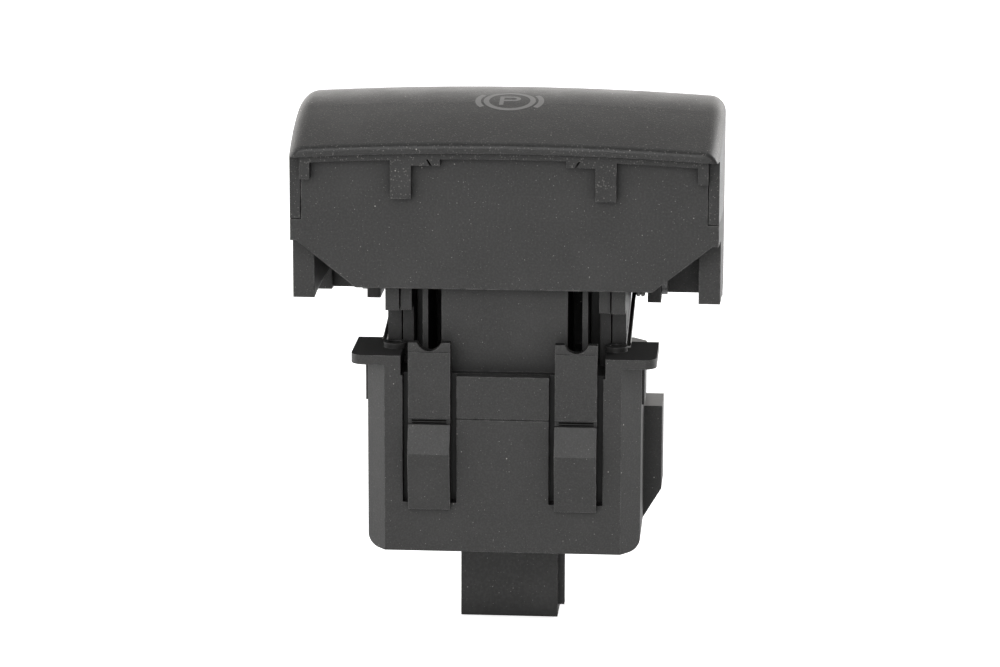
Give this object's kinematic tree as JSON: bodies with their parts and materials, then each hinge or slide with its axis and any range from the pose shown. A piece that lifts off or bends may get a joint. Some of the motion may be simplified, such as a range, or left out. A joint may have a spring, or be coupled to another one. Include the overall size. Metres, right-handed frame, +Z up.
{
  "type": "electric parking brake switch",
  "caption": "Black pull-up parking brake switch for a vehicle console, with a hinged hood lever over a snap-in housing.",
  "frame": {"origin": "middle of the console opening, in the plane that the ears rest on", "axes": "+X to the right of a person facing the switch's front, +Y to the back, +Z up out of the console"},
  "size_m": [0.0624, 0.0346, 0.0793],
  "materials": {
    "hood_plastic": "fine satin grain, black",
    "lever_plastic": "smooth moulded black",
    "frame_plastic": "smooth moulded black",
    "housing_plastic": "smooth moulded black",
    "header_plastic": "smooth moulded black",
    "carrier_plastic": "smooth moulded black",
    "slider_plastic": "smooth moulded black",
    "part_plastic": "epoxy packages",
    "clear_plastic": "clear polished",
    "lamp_plastic": "white lamp package",
    "board_laminate": "green solder resist",
    "spring_steel": "drawn spring wire",
    "pin_steel": "turned",
    "magnet_steel": "plated",
    "pin_brass": "tinned",
    "stop_rubber": "soft black"
  },
  "bodies": {
    "housing": {"switch_carrier": "carrier_plastic", "return_spring_left": "spring_steel", "return_spring_right": "spring_steel", "pivot_pin_left": "pin_steel", "pivot_pin_right": "pin_steel", "lower_housing": "housing_plastic", "connector_header": "header_plastic", "circuit_board": "board_laminate", "hall_sensors": "part_plastic", "backlight_led": "lamp_plastic", "light_pipe": "clear_plastic", "board_parts": "part_plastic", "terminal_pins": "pin_brass", "stop_pads": "stop_rubber"},
    "lever": {"hood_cap": "hood_plastic", "symbol_lens": "clear_plastic", "hood_frame": "frame_plastic", "lever_body": "lever_plastic"},
    "left_slider": {"slider_left": "slider_plastic", "magnet_left": "magnet_steel"},
    "right_slider": {"slider_right": "slider_plastic", "magnet_right": "magnet_steel"}
  },
  "joints": [
    {"name": "lever_pivot", "type": "hinge", "parent": "housing", "child": "lever", "pos_m": [0, 0.0122, 0.008], "axis": [-1, 0, 0], "range_deg": [-4, 8], "stiffness_Nm_per_rad": 1.5},
    {"name": "left_slider_slide", "type": "slide", "parent": "housing", "child": "left_slider", "axis": [0, 0, 1], "range_m": [-0.0008, 0.0015]},
    {"name": "right_slider_slide", "type": "slide", "parent": "housing", "child": "right_slider", "axis": [0, 0, 1], "range_m": [-0.0008, 0.0015]}
  ],
  "couplings": [
    {"joint": "left_slider_slide", "follows": "lever_pivot", "m_per_rad": 0.0095},
    {"joint": "right_slider_slide", "follows": "lever_pivot", "m_per_rad": 0.0095}
  ]
}
